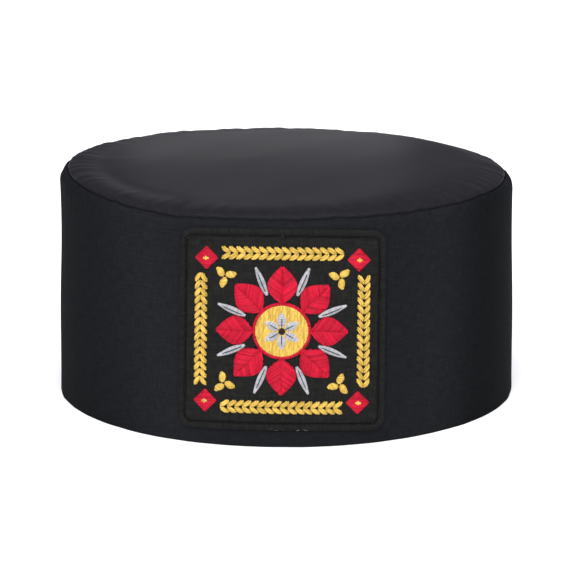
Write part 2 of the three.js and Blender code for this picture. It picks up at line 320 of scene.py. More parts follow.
band_rings = np.stack([band_ring(depth, height) for depth, height in band_section])
section_steps = np.hypot(*np.diff(np.array(band_section + band_section[:1]), axis=0).T)
section_way = np.concatenate([[0], np.cumsum(section_steps)]) * 1000
round_way = np.linspace(0, tau * (hem_half_width + hem_half_depth) / 2, band_around + 1) * 1000
band_cloth = np.stack(np.meshgrid(round_way, section_way), axis=-1)
side_band = skin_of_rings("side_band_satin", band_rings, band_cloth, poles=False)


# Adds a shader node and joins what is named to its inputs. A plain value is set on the input itself.
def shade(tree, kind, settings=None, **inputs):
    node = tree.nodes.new(kind)
    for setting, value in (settings or {}).items():
        setattr(node, setting, value)
    for socket, value in inputs.items():
        index = int(socket[1:]) if socket[1:].isdigit() else socket.replace("_", " ")
        if isinstance(value, bpy.types.NodeSocket):
            tree.links.new(value, node.inputs[index])
        else:
            node.inputs[index].default_value = value
    return node


# Adds a maths node with its values in order, and gives its result.
def reckon(tree, operation, *values):
    inputs = {f"_{index}": value for index, value in enumerate(values)}
    return shade(tree, "ShaderNodeMath", {"operation": operation}, **inputs).outputs[0]


# Names the numbers that go into a shader node group, with their usual values, and those that come out.
def number_sockets(group, inputs, outputs):
    for socket_name, value in inputs.items():
        socket = group.interface.new_socket(socket_name, in_out="INPUT", socket_type="NodeSocketFloat")
        socket.default_value = value
    for socket_name in outputs:
        group.interface.new_socket(socket_name, in_out="OUTPUT", socket_type="NodeSocketFloat")


# Woven cloth, seen close: warp and weft ridges at a pitch in millimetres, leaning over to a twill if
# slanted, with slubs where a thread thickens. It puts out a height for bump and a tone from about 0 to 1.
weft_lean = 0.35
weft_share = 0.6
ridge_share = 0.3
weave = bpy.data.node_groups.new("woven_cloth", "ShaderNodeTree")
weave.interface.new_socket("Cloth", in_out="INPUT", socket_type="NodeSocketVector")
number_sockets(weave, {"Pitch": 0.5, "Slant": 0.0, "Slub": 0.5, "Slub length": 6.0}, ("Height", "Tone"))
weave_in = weave.nodes.new("NodeGroupInput").outputs
cloth_axes = shade(weave, "ShaderNodeSeparateXYZ", Vector=weave_in["Cloth"]).outputs
turns_per_mm = reckon(weave, "DIVIDE", tau, weave_in["Pitch"])


def weave_ridges(along, across, lean):
    moved = reckon(weave, "MULTIPLY", weave_in["Slant"], lean)
    line = reckon(weave, "MULTIPLY_ADD", across, moved, along)
    return reckon(weave, "SINE", reckon(weave, "MULTIPLY", line, turns_per_mm))


# Slubs are soft noise, drawn out along the threads that they thicken.
def weave_slubs(scale, **stretch):
    drawn_out = shade(weave, "ShaderNodeCombineXYZ", **stretch).outputs[0]
    place = shade(weave, "ShaderNodeVectorMath", {"operation": "DIVIDE"}, _0=weave_in["Cloth"], _1=drawn_out)
    noise = shade(weave, "ShaderNodeTexNoise", Vector=place.outputs[0], Scale=scale, Detail=3.0)
    return noise.outputs["Fac"]


warp = weave_ridges(cloth_axes["X"], cloth_axes["Y"], 1.0)
weft = weave_ridges(cloth_axes["Y"], cloth_axes["X"], weft_lean)
upright_slubs = weave_slubs(1.3, X=1.0, Y=weave_in["Slub length"], Z=1.0)
level_slubs = weave_slubs(1.1, X=weave_in["Slub length"], Y=1.0, Z=1.0)
slubs = reckon(weave, "ADD", upright_slubs, level_slubs)
slub_height = reckon(weave, "MULTIPLY", slubs, weave_in["Slub"])
ridges = reckon(weave, "MULTIPLY_ADD", weft, weft_share, warp)
weave_out = weave.nodes.new("NodeGroupOutput")
weave.links.new(reckon(weave, "MULTIPLY_ADD", ridges, ridge_share, slub_height), weave_out.inputs["Height"])
weave.links.new(reckon(weave, "MULTIPLY", slubs, 0.5), weave_out.inputs["Tone"])


# A cloth finish from the weave: a dark and a light colour mixed by its tone, and its relief in millimetres.
def cloth_finish(name, dark, light, pitch, relief, gloss, sheen=0.0, slant=0.0, roughness=0.85):
    finish, tree, shader = new_finish(name)
    cloth = tree.nodes.new("ShaderNodeUVMap")
    cloth.uv_map = "cloth"
    woven = tree.nodes.new("ShaderNodeGroup")
    woven.node_tree = weave
    tree.links.new(cloth.outputs[0], woven.inputs["Cloth"])
    set_inputs(woven, Pitch=pitch, Slant=slant)
    spread = shade(tree, "ShaderNodeMapRange", Value=woven.outputs["Tone"], From_Min=0.34, From_Max=0.66)
    colour = shade(tree, "ShaderNodeMix", {"data_type": "RGBA"}, Factor=spread.outputs[0], _6=dark, _7=light)
    tree.links.new(colour.outputs[2], shader.inputs["Base Color"])
    bump = shade(tree, "ShaderNodeBump", Height=woven.outputs["Height"], Distance=relief, Strength=1.0)
    tree.links.new(bump.outputs[0], shader.inputs["Normal"])
    set_inputs(shader, Roughness=roughness, Specular_IOR_Level=gloss, Sheen_Weight=sheen)
    set_inputs(shader, Sheen_Roughness=0.35, Sheen_Tint=(0.80, 0.84, 1.0, 1))
    return finish


wall_satin = cloth_finish(
    "wall_satin",
    dark=(0.0065, 0.0070, 0.0080, 1),
    light=(0.0108, 0.0117, 0.0131, 1),
    pitch=0.42,
    relief=0.00004,
    gloss=0.01,
    sheen=0.002,
)

# Painted light and shade on the wall: the cloth's colour is made lighter or darker in broad bands, which
# stand in for soft highlights and the shade between them. Turn, spread and lean over the wall's height in
# degrees, and the share by which the cloth is painted lighter.
painted_light_bands = [
    (327, 11, 10, 0.20),
    (300, 13, 8, -0.12),
    (40, 8, -4, 0.19),
    (58, 12, -6, -0.27),
    (79, 4, 0, 0.34),
    (132, 16, 8, 0.16),
    (218, 14, -8, 0.14),
    (246, 10, 6, -0.14),
]
above_middle = (band_rings[:, :, 2] - band_height / 2) / band_height
painted_wall_light = np.ones(band_rings.shape[:2])
for turn, spread, lean, tone in painted_light_bands:
    painted_wall_light += tone * bell((turn_between(band_turns, turn) + lean * above_middle) / spread)


# Keeps a number for each point of a piece under a name, and gives the output that reads it in a material.
def point_numbers(piece, name, numbers, tree):
    piece.data.attributes.new(name, "FLOAT", "POINT").data.foreach_set("value", numbers.ravel().astype("f"))
    reader = tree.nodes.new("ShaderNodeAttribute")
    reader.attribute_name = name
    return reader.outputs["Fac"]


# Painted light: the wall's colour is scaled by these bands, point by point, in its material.
wall_tree = wall_satin.node_tree
wall_painted_light_factor = point_numbers(side_band, "painted_wall_light", painted_wall_light, wall_tree)
wall_base = wall_tree.nodes["Principled BSDF"].inputs["Base Color"]
wall_colour = wall_base.links[0].from_socket
painted_wall_colour = shade(wall_tree, "ShaderNodeVectorMath", {"operation": "SCALE"}, _0=wall_colour, Scale=wall_painted_light_factor)
wall_tree.links.new(painted_wall_colour.outputs[0], wall_base)
side_band.data.materials.append(wall_satin)
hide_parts("side_band")
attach(side_band, "root")

# Crown panel. One flat oval of the same satin over a soft interlining, sewn to the band all round. It rolls
# down to the seam, puckers where the seam draws it in, and its edge is turned down inside the band.
crown_thickness = 0.0014
crown_rise = 0.0038
roll_width = 0.0300
seam_hold = 0.0160
roll_swell = 0.0005
roll_swell_height = 0.0030
crown_dome = 0.0022
crown_gloss = 0.020
crown_sheen = 0.02
sewn_gap = 0.0003
crown_edge = seam_radius - sewn_gap
crown_level = band_height + crown_rise

# Puckers of the crown: turn and spread in degrees, reach in from the seam and depth in metres.
crown_puckers = [
    (257, 4.2, 0.022, -0.00012),
    (267, 3.8, 0.032, 0.00018),
    (276, 4.4, 0.022, -0.00012),
    (77, 4.4, 0.022, 0.00012),
    (87, 3.8, 0.028, -0.00014),
    (150, 9.0, 0.026, 0.00022),
    (196, 9.0, 0.024, -0.00022),
]


ripple_depth, ripple_reach = 0.00005, 0.004
wave_depth, wave_reach = 0.00017, 0.012
hollow_depths = (0.00040, 0.00014, 0.00012)
hollow_reach = 0.02
seam_fade_width = 0.0015


# The crown's own relief, from its middle to the seam: a low dome, broad hollows where the interlining gives,
# and the puckers, waves and fine ripples of the seam, which are stronger at the forehead.
def crown_relief(radius, turn):
    inward = np.maximum(0, crown_edge - radius)
    relief = 0.0
    for pucker_turn, spread, reach, depth in crown_puckers:
        along = np.minimum(1, inward / reach)
        across = turn_between(turn, pucker_turn) / spread
        relief = relief + depth * bell(across) * np.sin(math.pi * np.sqrt(along))
    forward = 0.675 + 0.325 * np.cos(turn)
    ripples = ripple_depth * unevenness(turn, (53, 67, 89, 109), 21) * np.exp(-inward / ripple_reach)
    waves = wave_depth * unevenness(turn, (7, 11, 17, 25), 22) * np.exp(-inward / wave_reach)
    x, y = radius * np.sin(turn), -radius * np.cos(turn)
    broad, slanting, small = hollow_depths
    hollow = broad * np.sin(34 * x + 1.1) * np.sin(41 * y + 0.4) + slanting * np.sin(61 * x + 22 * y)
    hollow = hollow + small * np.sin(130 * x - 50 * y + 2.0) * np.sin(55 * y + 0.6)
    seam_fade = np.clip(inward / seam_fade_width, 0, 1)
    dome = crown_dome * (1 - (radius / crown_edge) ** 2)
    hollow_fade = np.clip(inward / hollow_reach, 0, 1)
    return relief + forward * (ripples + waves) * seam_fade + hollow * hollow_fade + dome


# The roll's height at a share of its width in from the seam: nearly flat at first, then down ever faster.
def crown_roll(share):
    return crown_level - crown_rise * (1 - math.sqrt(1 - (1 - share) ** 4))


# The roll swells out a little over the seam, which leaves the seam in a crease.
def crown_swell(share):
    above = (crown_roll(share) - band_height) / roll_swell_height
    return roll_swell * math.sin(math.pi * min(1, above)) ** 0.7 if above > 0 else 0.0


disc_radius = crown_edge - roll_width
top_section = (
    [(disc_radius * share, crown_level) for share in np.linspace(0.02, 0.96, 44)]
    + [
        (crown_edge - roll_width * share + crown_swell(share), crown_roll(share))
        for share in (math.cos(angle) ** 1.6 for angle in np.linspace(0, tau / 4, 40))
    ]
    + [(crown_edge, band_height - 0.0004 - seam_allowance * share) for share in np.linspace(0.03, 1, 6)]
)
inner_edge = crown_edge - crown_thickness
under_section = (
    [(inner_edge, band_height - seam_allowance * share) for share in np.linspace(1, 0.35, 5)]
    + [
        (inner_edge - (roll_width - crown_thickness) * share, crown_roll(share) - crown_thickness)
        for share in (0.09, 0.14, 0.20, 0.28, 0.38, 0.55, 0.75, 1)
    ]
    + [(disc_radius * share, crown_level - crown_thickness) for share in np.linspace(0.94, 0.02, 16)]
)
crown_section = top_section + under_section


def crown_ring(radius, height):
    inward = np.clip((crown_edge - radius) / seam_hold, 0, 1)
    outward = min(1, radius / crown_edge)
    disc_lift = band_height * round_the_cap(crown_lifts, band_turns) * outward * outward * (3 - 2 * outward)
    blend = inward * inward * (3 - 2 * inward)
    lift = seam_lift(band_turns) * (1 - blend) + disc_lift * blend
    wave = seam_wave(band_turns) * (1 - blend)
    return plan_point(radius, band_turns, height + lift + wave + crown_relief(radius, band_turns))


crown_rings = np.stack([crown_ring(radius, height) for radius, height in crown_section])
crown_steps = np.hypot(*np.diff(np.array(crown_section), axis=0).T)
crown_way = (crown_section[0][0] + np.concatenate([[0], np.cumsum(crown_steps)])) * 1000
cloth_turns = np.linspace(0, tau, band_around + 1)
crown_cloth = crown_way[:, None, None] * np.stack([np.sin(cloth_turns), -np.cos(cloth_turns)], axis=-1)
crown = skin_of_rings("crown_satin", crown_rings[::-1], crown_cloth[::-1], poles=True)
crown_satin = cloth_finish(
    "crown_satin",
    dark=(0.0092, 0.0090, 0.0106, 1),
    light=(0.0142, 0.0139, 0.0158, 1),
    pitch=0.30,
    relief=0.00001,
    roughness=0.42,
    gloss=crown_gloss,
    sheen=crown_sheen,
)

# Painted shade in the seam crease: the satin's gloss and sheen are faded out along the seam, in a wider
# strip over the ears, so that the crease stays dark instead of catching light.
seam_shade_reach = 0.0005 + 0.0012 * np.sin(band_turns) ** 4
seam_way = crown_way[len(top_section) - 7]
way_to_seam = np.maximum(0, seam_way - crown_way[::-1]) / 1000
seam_painted_shade = 0.6 * bell(way_to_seam[:, None] / seam_shade_reach)
poles_seam_shade = (0.0, 0.0)
crown_tree = crown_satin.node_tree
seam_shade_factor = point_numbers(crown, "seam_painted_shade", np.append(seam_painted_shade, poles_seam_shade), crown_tree)
# Painted shade: the crease mask turns the crown's gloss and sheen down along the seam.
for socket_name, open_value in (("Specular IOR Level", crown_gloss), ("Sheen Weight", crown_sheen)):
    shine = shade(crown_tree, "ShaderNodeMapRange", Value=seam_shade_factor, To_Min=open_value, To_Max=0.0)
    crown_tree.links.new(shine.outputs[0], crown_tree.nodes["Principled BSDF"].inputs[socket_name])
crown.data.materials.append(crown_satin)
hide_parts("crown_panel")
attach(crown, "root")

# Patch ground. A square of matt black twill with a stiff backing, sewn to the forehead a little off centre
# and askew. Its edge dips to the sunk line of stitching inside the border.
patch_width = 0.0820
patch_height = 0.0793
patch_corner_radius = 0.0055
patch_middle = 0.0458
patch_shift = -0.0018
patch_bow = 0.0017
patch_skew = math.radians(-0.7)
ground_thickness = 0.0010
border_width = 0.0024
border_thickness = 0.0015
border_gap = 0.00035
ground_face = sewn_gap + ground_thickness
patch_radius = hem_half_width - band_narrowing / 2


# Places of the patch, from its middle: across to the viewer's right, up, and out from the band's face.
def on_patch(right, up, out):
    across = right * math.cos(patch_skew) - up * math.sin(patch_skew)
    rise = right * math.sin(patch_skew) + up * math.cos(patch_skew)
    turn = (patch_shift + across) / patch_radius
    height = patch_middle + rise + patch_bow * (0.5 - (across / (patch_width / 2)) ** 2)
    return plan_point(hem_half_width + band_stand_off(turn, height) + out, turn, height)


# The patch's outline, with its round corners, drawn in by an inset: a place for each way from its middle.
def patch_outline(inset, way):
    half_width, half_height, radius = (
        size - inset for size in (patch_width / 2, patch_height / 2, patch_corner_radius)
    )
    inner_width, inner_height = half_width - radius, half_height - radius
    dx, dy = np.cos(way), np.sin(way)
    with np.errstate(divide="ignore"):
        reach = np.minimum(half_width / np.abs(dx), half_height / np.abs(dy))
    corner = (np.abs(reach * dx) > inner_width) & (np.abs(reach * dy) > inner_height)
    dot = inner_width * np.abs(dx) + inner_height * np.abs(dy)
    short = inner_width**2 + inner_height**2 - radius**2
    reach = np.where(corner, dot + np.sqrt(np.maximum(0, dot**2 - short)), reach)
    return reach * dx, reach * dy


ground_edge_drop = 0.00075
ground_edge_start = 0.955
ground_pucker = 0.00010
ground_around = 480
edge_x, edge_y = patch_outline(border_width + border_gap, np.arange(ground_around) / ground_around * tau)
ground_shares = np.concatenate([np.linspace(0.01, 0.94, 60), np.linspace(0.95, 1, 10)])
underside_shares = (1.0, 0.6, 0.02)
ground_rings = []
for share in ground_shares:
    x, y = edge_x * share, edge_y * share
    edge_drop = ground_edge_drop * max(0, (share - ground_edge_start) / (1 - ground_edge_start)) ** 2.2
    puckers = ground_pucker * np.sin(900 * x + 400 * y) * np.sin(700 * y - 300 * x)
    ground_rings.append(on_patch(x, y, ground_face - edge_drop + puckers * min(1, (1 - share) * 20)))
for share in underside_shares:
    ground_rings.append(on_patch(edge_x * share, edge_y * share, sewn_gap))
every_share = np.concatenate([ground_shares, underside_shares])[:, None, None]
ground_cloth = every_share * np.stack([edge_x, edge_y], axis=-1) * 1000
ground_cloth = np.concatenate([ground_cloth, ground_cloth[:, :1]], axis=1)
patch_ground = skin_of_rings("patch_twill", np.stack(ground_rings)[::-1], ground_cloth[::-1], poles=True)
black_twill = cloth_finish(
    "black_twill",
    dark=(0.0060, 0.0060, 0.0057, 1),
    light=(0.0140, 0.0140, 0.0134, 1),
    pitch=0.52,
    slant=1.0,
    relief=0.00005,
    gloss=0.04,
)
patch_ground.data.materials.append(black_twill)
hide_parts("patch_ground")
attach(patch_ground, "root")

# Patch border. A cord of black thread wound round the patch's edge: a padded core, covered all the way
# round by close stitches that lean a little.
border_stitch_pitch = 0.00052
border_stitch_lean = 0.00070
border_thread = 0.00050


# The patch's outline in fine steps, with the length of the way up to each.
def patch_line(inset, steps):
    x, y = patch_outline(inset, np.linspace(0, tau, steps))
    return x, y, np.concatenate([[0], np.cumsum(np.hypot(np.diff(x), np.diff(y)))])


# Evenly spaced places along the border's middle, the way outwards from each, and the whole length.
def border_places(count):
    x, y, way = patch_line(border_width / 2, 4001)
    at = np.arange(count) / count * way[-1]
    x, y = np.interp(at, way, x), np.interp(at, way, y)
    ahead_x, ahead_y = (np.roll(line, -1) - np.roll(line, 1) for line in (x, y))
    length = np.hypot(ahead_x, ahead_y)
    return x, y, ahead_y / length, -ahead_x / length, way[-1]


core_around = 420
core_sides = 12
core_side_length = 0.5
core_side_gap, core_top_gap = 0.00015, 0.00025
x, y, out_x, out_y, edge_length = border_places(core_around)
core_rings = []
for side in range(core_sides):
    angle = side / core_sides * tau
    reach = math.cos(angle) * (border_width / 2 - core_side_gap)
    rise = sewn_gap + (border_thickness - core_top_gap) * (0.5 + 0.5 * math.sin(angle))
    core_rings.append(on_patch(x + out_x * reach, y + out_y * reach, rise))
core_way = np.linspace(0, edge_length * 1000, core_around + 1)
core_cloth = np.stack(np.meshgrid(core_way, np.arange(core_sides + 1) * core_side_length), axis=-1)
border_core = skin_of_rings("border_core", np.stack(core_rings), core_cloth, poles=False)

# Threads. Stitches are drawn as bare lines on the cloth, and this tree turns each line into a closed round
# thread, with its own slight difference of tone.
threads = bpy.data.node_groups.new("stitches_to_threads", "GeometryNodeTree")
threads.interface.new_socket("Geometry", in_out="INPUT", socket_type="NodeSocketGeometry")
for socket_name, kind, value in (("Thickness", "Float", 0.0004), ("Sides", "Int", 6), ("Seed", "Int", 1)):
    socket = threads.interface.new_socket(socket_name, in_out="INPUT", socket_type="NodeSocket" + kind)
    socket.default_value = value
threads.interface.new_socket("Thread finish", in_out="INPUT", socket_type="NodeSocketMaterial")
threads.interface.new_socket("Geometry", in_out="OUTPUT", socket_type="NodeSocketGeometry")
thread_in = threads.nodes.new("NodeGroupInput").outputs
lines = shade(threads, "GeometryNodeMeshToCurve", Mesh=thread_in["Geometry"]).outputs[0]
stitch_number = threads.nodes.new("GeometryNodeInputIndex").outputs[0]
stitch_tone = shade(
    threads, "FunctionNodeRandomValue", {"data_type": "FLOAT"}, ID=stitch_number, Seed=thread_in["Seed"]
)
on_each_curve = {"data_type": "FLOAT", "domain": "CURVE"}
toned = shade(threads, "GeometryNodeStoreNamedAttribute", on_each_curve, Geometry=lines, Name="thread_tone")
threads.links.new(stitch_tone.outputs[1], toned.inputs["Value"])
half_thickness = reckon(threads, "MULTIPLY", thread_in["Thickness"], 0.5)
section = shade(
    threads, "GeometryNodeCurvePrimitiveCircle", Resolution=thread_in["Sides"], Radius=half_thickness
).outputs[0]
spun = shade(
    threads, "GeometryNodeCurveToMesh", Curve=toned.outputs[0], Profile_Curve=section, Fill_Caps=True
)
single = shade(threads, "GeometryNodeRealizeInstances", Geometry=spun.outputs[0])
coloured = shade(
    threads, "GeometryNodeSetMaterial", Geometry=single.outputs[0], Material=thread_in["Thread finish"]
)
thread_out = threads.nodes.new("NodeGroupOutput")
threads.links.new(coloured.outputs[0], thread_out.inputs[0])


# Lays stitches from starts to ends, both places on the patch, which arch up to a height above a foot.
def stitch_lines(starts, ends, foot, height, steps=6):
    share = np.linspace(0, 1, steps)[None, :, None]
    way = starts[:, None, :] * (1 - share) + ends[:, None, :] * share
    arch = foot + height * np.sqrt(np.maximum(0, 1 - (2 * share[..., 0] - 1) ** 2) + 1e-6)
    return on_patch(way[..., 0], way[..., 1], np.broadcast_to(arch, way.shape[:2]))


# Winds a set of stitch lines into one plain mesh of threads.
def wind_threads(name, line_sets, thickness, finish, sides=6, seed=1):
    points, edges = [], []
    for lines_of_set in line_sets:
        for line in lines_of_set:
            first = len(points)
            points.extend(line.tolist())
            edges.extend((first + i, first + i + 1) for i in range(len(line) - 1))
    mesh = bpy.data.meshes.new(name)
    mesh.from_pydata(points, edges, [])
    drawn = placed(name + "_lines", mesh)
    modifier = drawn.modifiers.new("threads", "NODES")
    modifier.node_group = threads
    values = {"Thickness": thickness, "Sides": sides, "Seed": seed, "Thread finish": finish}
    for item in threads.interface.items_tree:
        if item.in_out == "INPUT" and item.name in values:
            modifier[item.identifier] = values[item.name]
    evaluated = drawn.evaluated_get(bpy.context.evaluated_depsgraph_get())
    plain = bpy.data.meshes.new_from_object(evaluated)
    plain.name = name
    plain.shade_smooth()
    bpy.data.objects.remove(drawn)
    return placed(name, plain)


# Spun thread, seen close: its tone from about 0 to 1 is partly each thread's own and partly its fibres', and
# its height is the fibres' for bump.
spun_thread = bpy.data.node_groups.new("spun_thread", "ShaderNodeTree")
number_sockets(
    spun_thread, {"Own share": 0.6, "Fibre share": 0.6, "Fibres per metre": 900.0}, ("Height", "Tone")
)
spun_in = spun_thread.nodes.new("NodeGroupInput").outputs
own_tone = spun_thread.nodes.new("ShaderNodeAttribute")
own_tone.attribute_name = "thread_tone"
thread_place = spun_thread.nodes.new("ShaderNodeTexCoord").outputs["Object"]
fibres = shade(
    spun_thread, "ShaderNodeTexNoise", Vector=thread_place, Scale=spun_in["Fibres per metre"], Detail=2.0
).outputs["Fac"]
fibre_tone = reckon(spun_thread, "MULTIPLY_ADD", fibres, spun_in["Fibre share"], -0.1)
whole_tone = reckon(spun_thread, "MULTIPLY_ADD", own_tone.outputs["Fac"], spun_in["Own share"], fibre_tone)
spun_out = spun_thread.nodes.new("NodeGroupOutput")
spun_thread.links.new(fibres, spun_out.inputs["Height"])
spun_thread.links.new(whole_tone, spun_out.inputs["Tone"])


# A thread finish: rayon or polyester with a soft shine, mixed from a dark and a light tone.
def thread_finish(name, dark, light, roughness, gloss):
    finish, tree, shader = new_finish(name)
    thread = tree.nodes.new("ShaderNodeGroup")
    thread.node_tree = spun_thread
    tone = thread.outputs["Tone"]
    colour = shade(tree, "ShaderNodeMix", {"data_type": "RGBA"}, Factor=tone, _6=dark, _7=light)
    tree.links.new(colour.outputs[2], shader.inputs["Base Color"])
    bump = shade(tree, "ShaderNodeBump", Height=thread.outputs["Height"], Distance=0.00005, Strength=0.6)
    tree.links.new(bump.outputs[0], shader.inputs["Normal"])
    set_inputs(shader, Roughness=roughness, Specular_IOR_Level=gloss)
    return finish


black_thread = thread_finish(
    "black_thread", dark=(0.005, 0.005, 0.005, 1), light=(0.014, 0.014, 0.014, 1), roughness=0.7, gloss=0.08
)
border_core.data.materials.append(black_thread)
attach(border_core, "root")

border_stitch_count = int(edge_length / border_stitch_pitch)
x, y, out_x, out_y, _ = border_places(border_stitch_count)
middle = np.stack([x, y], axis=-1)
reach = np.stack([out_x, out_y], axis=-1) * border_width / 2
lean = np.stack([-out_y, out_x], axis=-1) * border_stitch_lean / 2
border_arch = border_thickness - border_thread / 2
border_lines = stitch_lines(middle - reach - lean, middle + reach + lean, sewn_gap, border_arch, steps=8)
border_stitches = wind_threads("border_stitches", [border_lines], border_thread, black_thread, seed=3)
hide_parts("patch_border")
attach(border_stitches, "root")

# Embroidery. Rayon thread, laid in three ways: satin stitch from edge to edge of a motif, fishbone stitch
# from its middle line out to each edge, and rows of short filling stitches. A motif is given by a line
# through its middle and its half width along that line.
thread_pitch = 0.00040
thread_thickness = 0.00046
thread_foot = ground_face - 0.00010
thread_arch = 0.00085
padded_from_width = 0.0032
spine_overlap = 0.0001
shortest_stitch = 0.0006
vein_thickness = 0.00034


# Evenly spaced stitches between two edges, each given as a fine row of places.
def closely(starts, ends, pitch):
    across = (ends - starts) / np.hypot(*(ends - starts).T)[:, None]
    turned = np.stack([-across[:-1, 1], across[:-1, 0]], axis=-1)
    gaps = [np.abs(np.sum(np.diff(edge, axis=0) * turned, axis=1)) for edge in (starts, ends)]
    way = np.concatenate([[0], np.cumsum(np.maximum(*gaps))])
    count = max(2, round(way[-1] / pitch))
    at = (np.arange(count) + 0.5) / count * way[-1]
    return [np.stack([np.interp(at, way, edge[:, k]) for k in (0, 1)], axis=-1) for edge in (starts, ends)]


# A motif's line: its ends, the ways along it and to its left, and fine shares of its length.
def motif_ways(start, end):
    start, end = np.array(start), np.array(end)
    along = (end - start) / math.dist(start, end)
    return start, end, along, np.array([-along[1], along[0]]), np.linspace(0.01, 0.99, 200)[:, None]


# Satin stitch: each thread lies across the motif, and arches lower where the motif is narrow.
def satin_fill(start, end, half_width_at, lean=0.0, height=thread_arch, foot=thread_foot):
    start, end, along, side, share = motif_ways(start, end)
    middle = start + (end - start) * share
    across = (side - lean * along) * half_width_at(share)
    left, right = closely(middle + across, middle - across, thread_pitch)
    swell = height * np.clip(np.hypot(*(left - right).T)[:, None] / padded_from_width, 0.45, 1)
    return stitch_lines(left, right, foot, swell)


# Fishbone stitch: each thread leans forward from the middle line to the edge.
def fishbone_fill(start, end, half_width_at, lean, height=thread_arch):
    start, end, along, left, share = motif_ways(start, end)
    half = half_width_at(share)
    spine = start + along * np.maximum(0, math.dist(start, end) * share - lean * half)
    halves = []
    for side in (-left, left):
        edge = start + (end - start) * share + side * half
        inner, outer = closely(spine - side * spine_overlap, edge, thread_pitch)
        halves.append(stitch_lines(inner, outer, thread_foot, height))
    return np.concatenate(halves)


# Filling stitch: upright rows of short threads over a disc, the ends stepping from row to row.
def disc_fill(radius, stitch_length, height):
    starts, ends = [], []
    row_count = round(2 * radius / thread_pitch)
    for row in range(row_count):
        x = (row + 0.5) * 2 * radius / row_count - radius
        reach = math.sqrt(radius * radius - x * x)
        step = row % 4 / 4 * stitch_length
        breaks = np.arange(-radius - stitch_length + step, radius + stitch_length, stitch_length)
        knots = np.concatenate([[-reach], breaks[np.abs(breaks) < reach - shortest_stitch], [reach]])
        starts.extend((x, knot) for knot in knots[:-1])
        ends.extend((x, knot) for knot in knots[1:])
    return stitch_lines(np.array(starts), np.array(ends), thread_foot + height / 2, height / 2)


def ring_place(radius, angle):
    return radius * math.cos(angle), radius * math.sin(angle)


red_thread = thread_finish(
    "red_thread", dark=(0.20, 0.0030, 0.012, 1), light=(0.60, 0.010, 0.038, 1), roughness=0.5, gloss=0.1
)
gold_thread = thread_finish(
    "gold_thread", dark=(0.32, 0.205, 0.034, 1), light=(0.74, 0.505, 0.108, 1), roughness=0.5, gloss=0.12
)
pale_thread = thread_finish(
    "pale_thread", dark=(0.22, 0.22, 0.24, 1), light=(0.46, 0.46, 0.49, 1), roughness=0.5, gloss=0.12
)

# Rosette. Eight red petals with pale grey leaves between them stand round a gold eye with a red rim, which
# holds a small pale flower. Veins and the flower's heart are single black threads laid on top.
petals = 8
petal_root, petal_tip, petal_width = 0.0110, 0.0255, 0.0114
petal_lean = 0.75
leaf_root, leaf_tip, leaf_width = 0.0150, 0.0270, 0.0024
leaf_vein, leaf_vein_rise, leaf_vein_arch = (0.0160, 0.0250), 0.0002, 0.00095
eye_radius = 0.0100
rim_radius = 0.0106
rim_width = 0.0011
rim_arch = 0.0006
eye_stitch_length, eye_thickness = 0.0036, 0.0007
flower_petals = 6
flower_root, flower_tip, flower_width = 0.0014, 0.0074, 0.0036
flower_rise, flower_arch = 0.0005, 0.0006
flower_vein, flower_vein_rise = (0.0014, 0.0060), 0.0007
heart_radius, heart_rise, heart_arch = 0.0013, 0.0008, 0.0005
blunt_end = 0.00025


def swollen(width):
    return lambda share: blunt_end + (width / 2 - blunt_end) * np.sin(math.pi * share**0.87)


# A vein: one thread straight outwards between two radii, over the threads under it.
def vein_line(radii, angle, rise, arch):
    start, end = (np.array([ring_place(radius, angle)]) for radius in radii)
    return stitch_lines(start, end, thread_foot + rise, arch)


rim_count = round(tau * rim_radius / thread_pitch)
rim_angles = np.arange(rim_count) / rim_count * tau
rim_ways = np.stack([np.cos(rim_angles), np.sin(rim_angles)], axis=-1)
rim_inner, rim_outer = (rim_ways * (rim_radius + side * rim_width / 2) for side in (-1, 1))
rim_lines = stitch_lines(rim_inner, rim_outer, thread_foot, rim_arch)
petal_lines, leaf_lines, vein_lines = [rim_lines], [], []
for i in range(petals):
    angle = tau * i / petals
    between = angle + math.pi / petals
    petal_ends = ring_place(petal_root, angle), ring_place(petal_tip, angle)
    petal_lines.append(fishbone_fill(*petal_ends, swollen(petal_width), petal_lean))
    leaf_ends = ring_place(leaf_root, between), ring_place(leaf_tip, between)
    leaf_lines.append(satin_fill(*leaf_ends, swollen(leaf_width)))
    vein_lines.append(vein_line(leaf_vein, between, leaf_vein_rise, leaf_vein_arch))

red_petals = wind_threads("red_petals", petal_lines, thread_thickness, red_thread, seed=4)
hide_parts(*[f"petal_{i + 1}" for i in range(petals)])
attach(red_petals, "root")

pale_leaves = wind_threads("pale_leaves", leaf_lines, thread_thickness, pale_thread, seed=5)
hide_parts(*[f"leaf_{i + 1}" for i in range(petals)])
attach(pale_leaves, "root")

eye_lines = disc_fill(eye_radius, eye_stitch_length, eye_thickness)
gold_eye = wind_threads("gold_eye", [eye_lines], thread_thickness, gold_thread, seed=6)
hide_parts("rosette_eye")
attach(gold_eye, "root")

flower_lines = []
for i in range(flower_petals):
    angle = tau * i / flower_petals + tau / 4
    ends = ring_place(flower_root, angle), ring_place(flower_tip, angle)
    foot = thread_foot + flower_rise
    flower_lines.append(satin_fill(*ends, swollen(flower_width), foot=foot, height=flower_arch))
    vein_lines.append(vein_line(flower_vein, angle, flower_vein_rise, flower_arch))
pale_flower = wind_threads("pale_flower", flower_lines, thread_thickness, pale_thread, seed=7)
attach(pale_flower, "root")


def heart_shape(share):
    return heart_radius * np.sqrt(1 - (2 * share - 1) ** 2)


heart_ends = (-heart_radius, 0), (heart_radius, 0)
vein_lines.append(satin_fill(*heart_ends, heart_shape, foot=thread_foot + heart_rise, height=heart_arch))
black_veins = wind_threads("black_veins", vein_lines, vein_thickness, black_thread, seed=8)
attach(black_veins, "root")

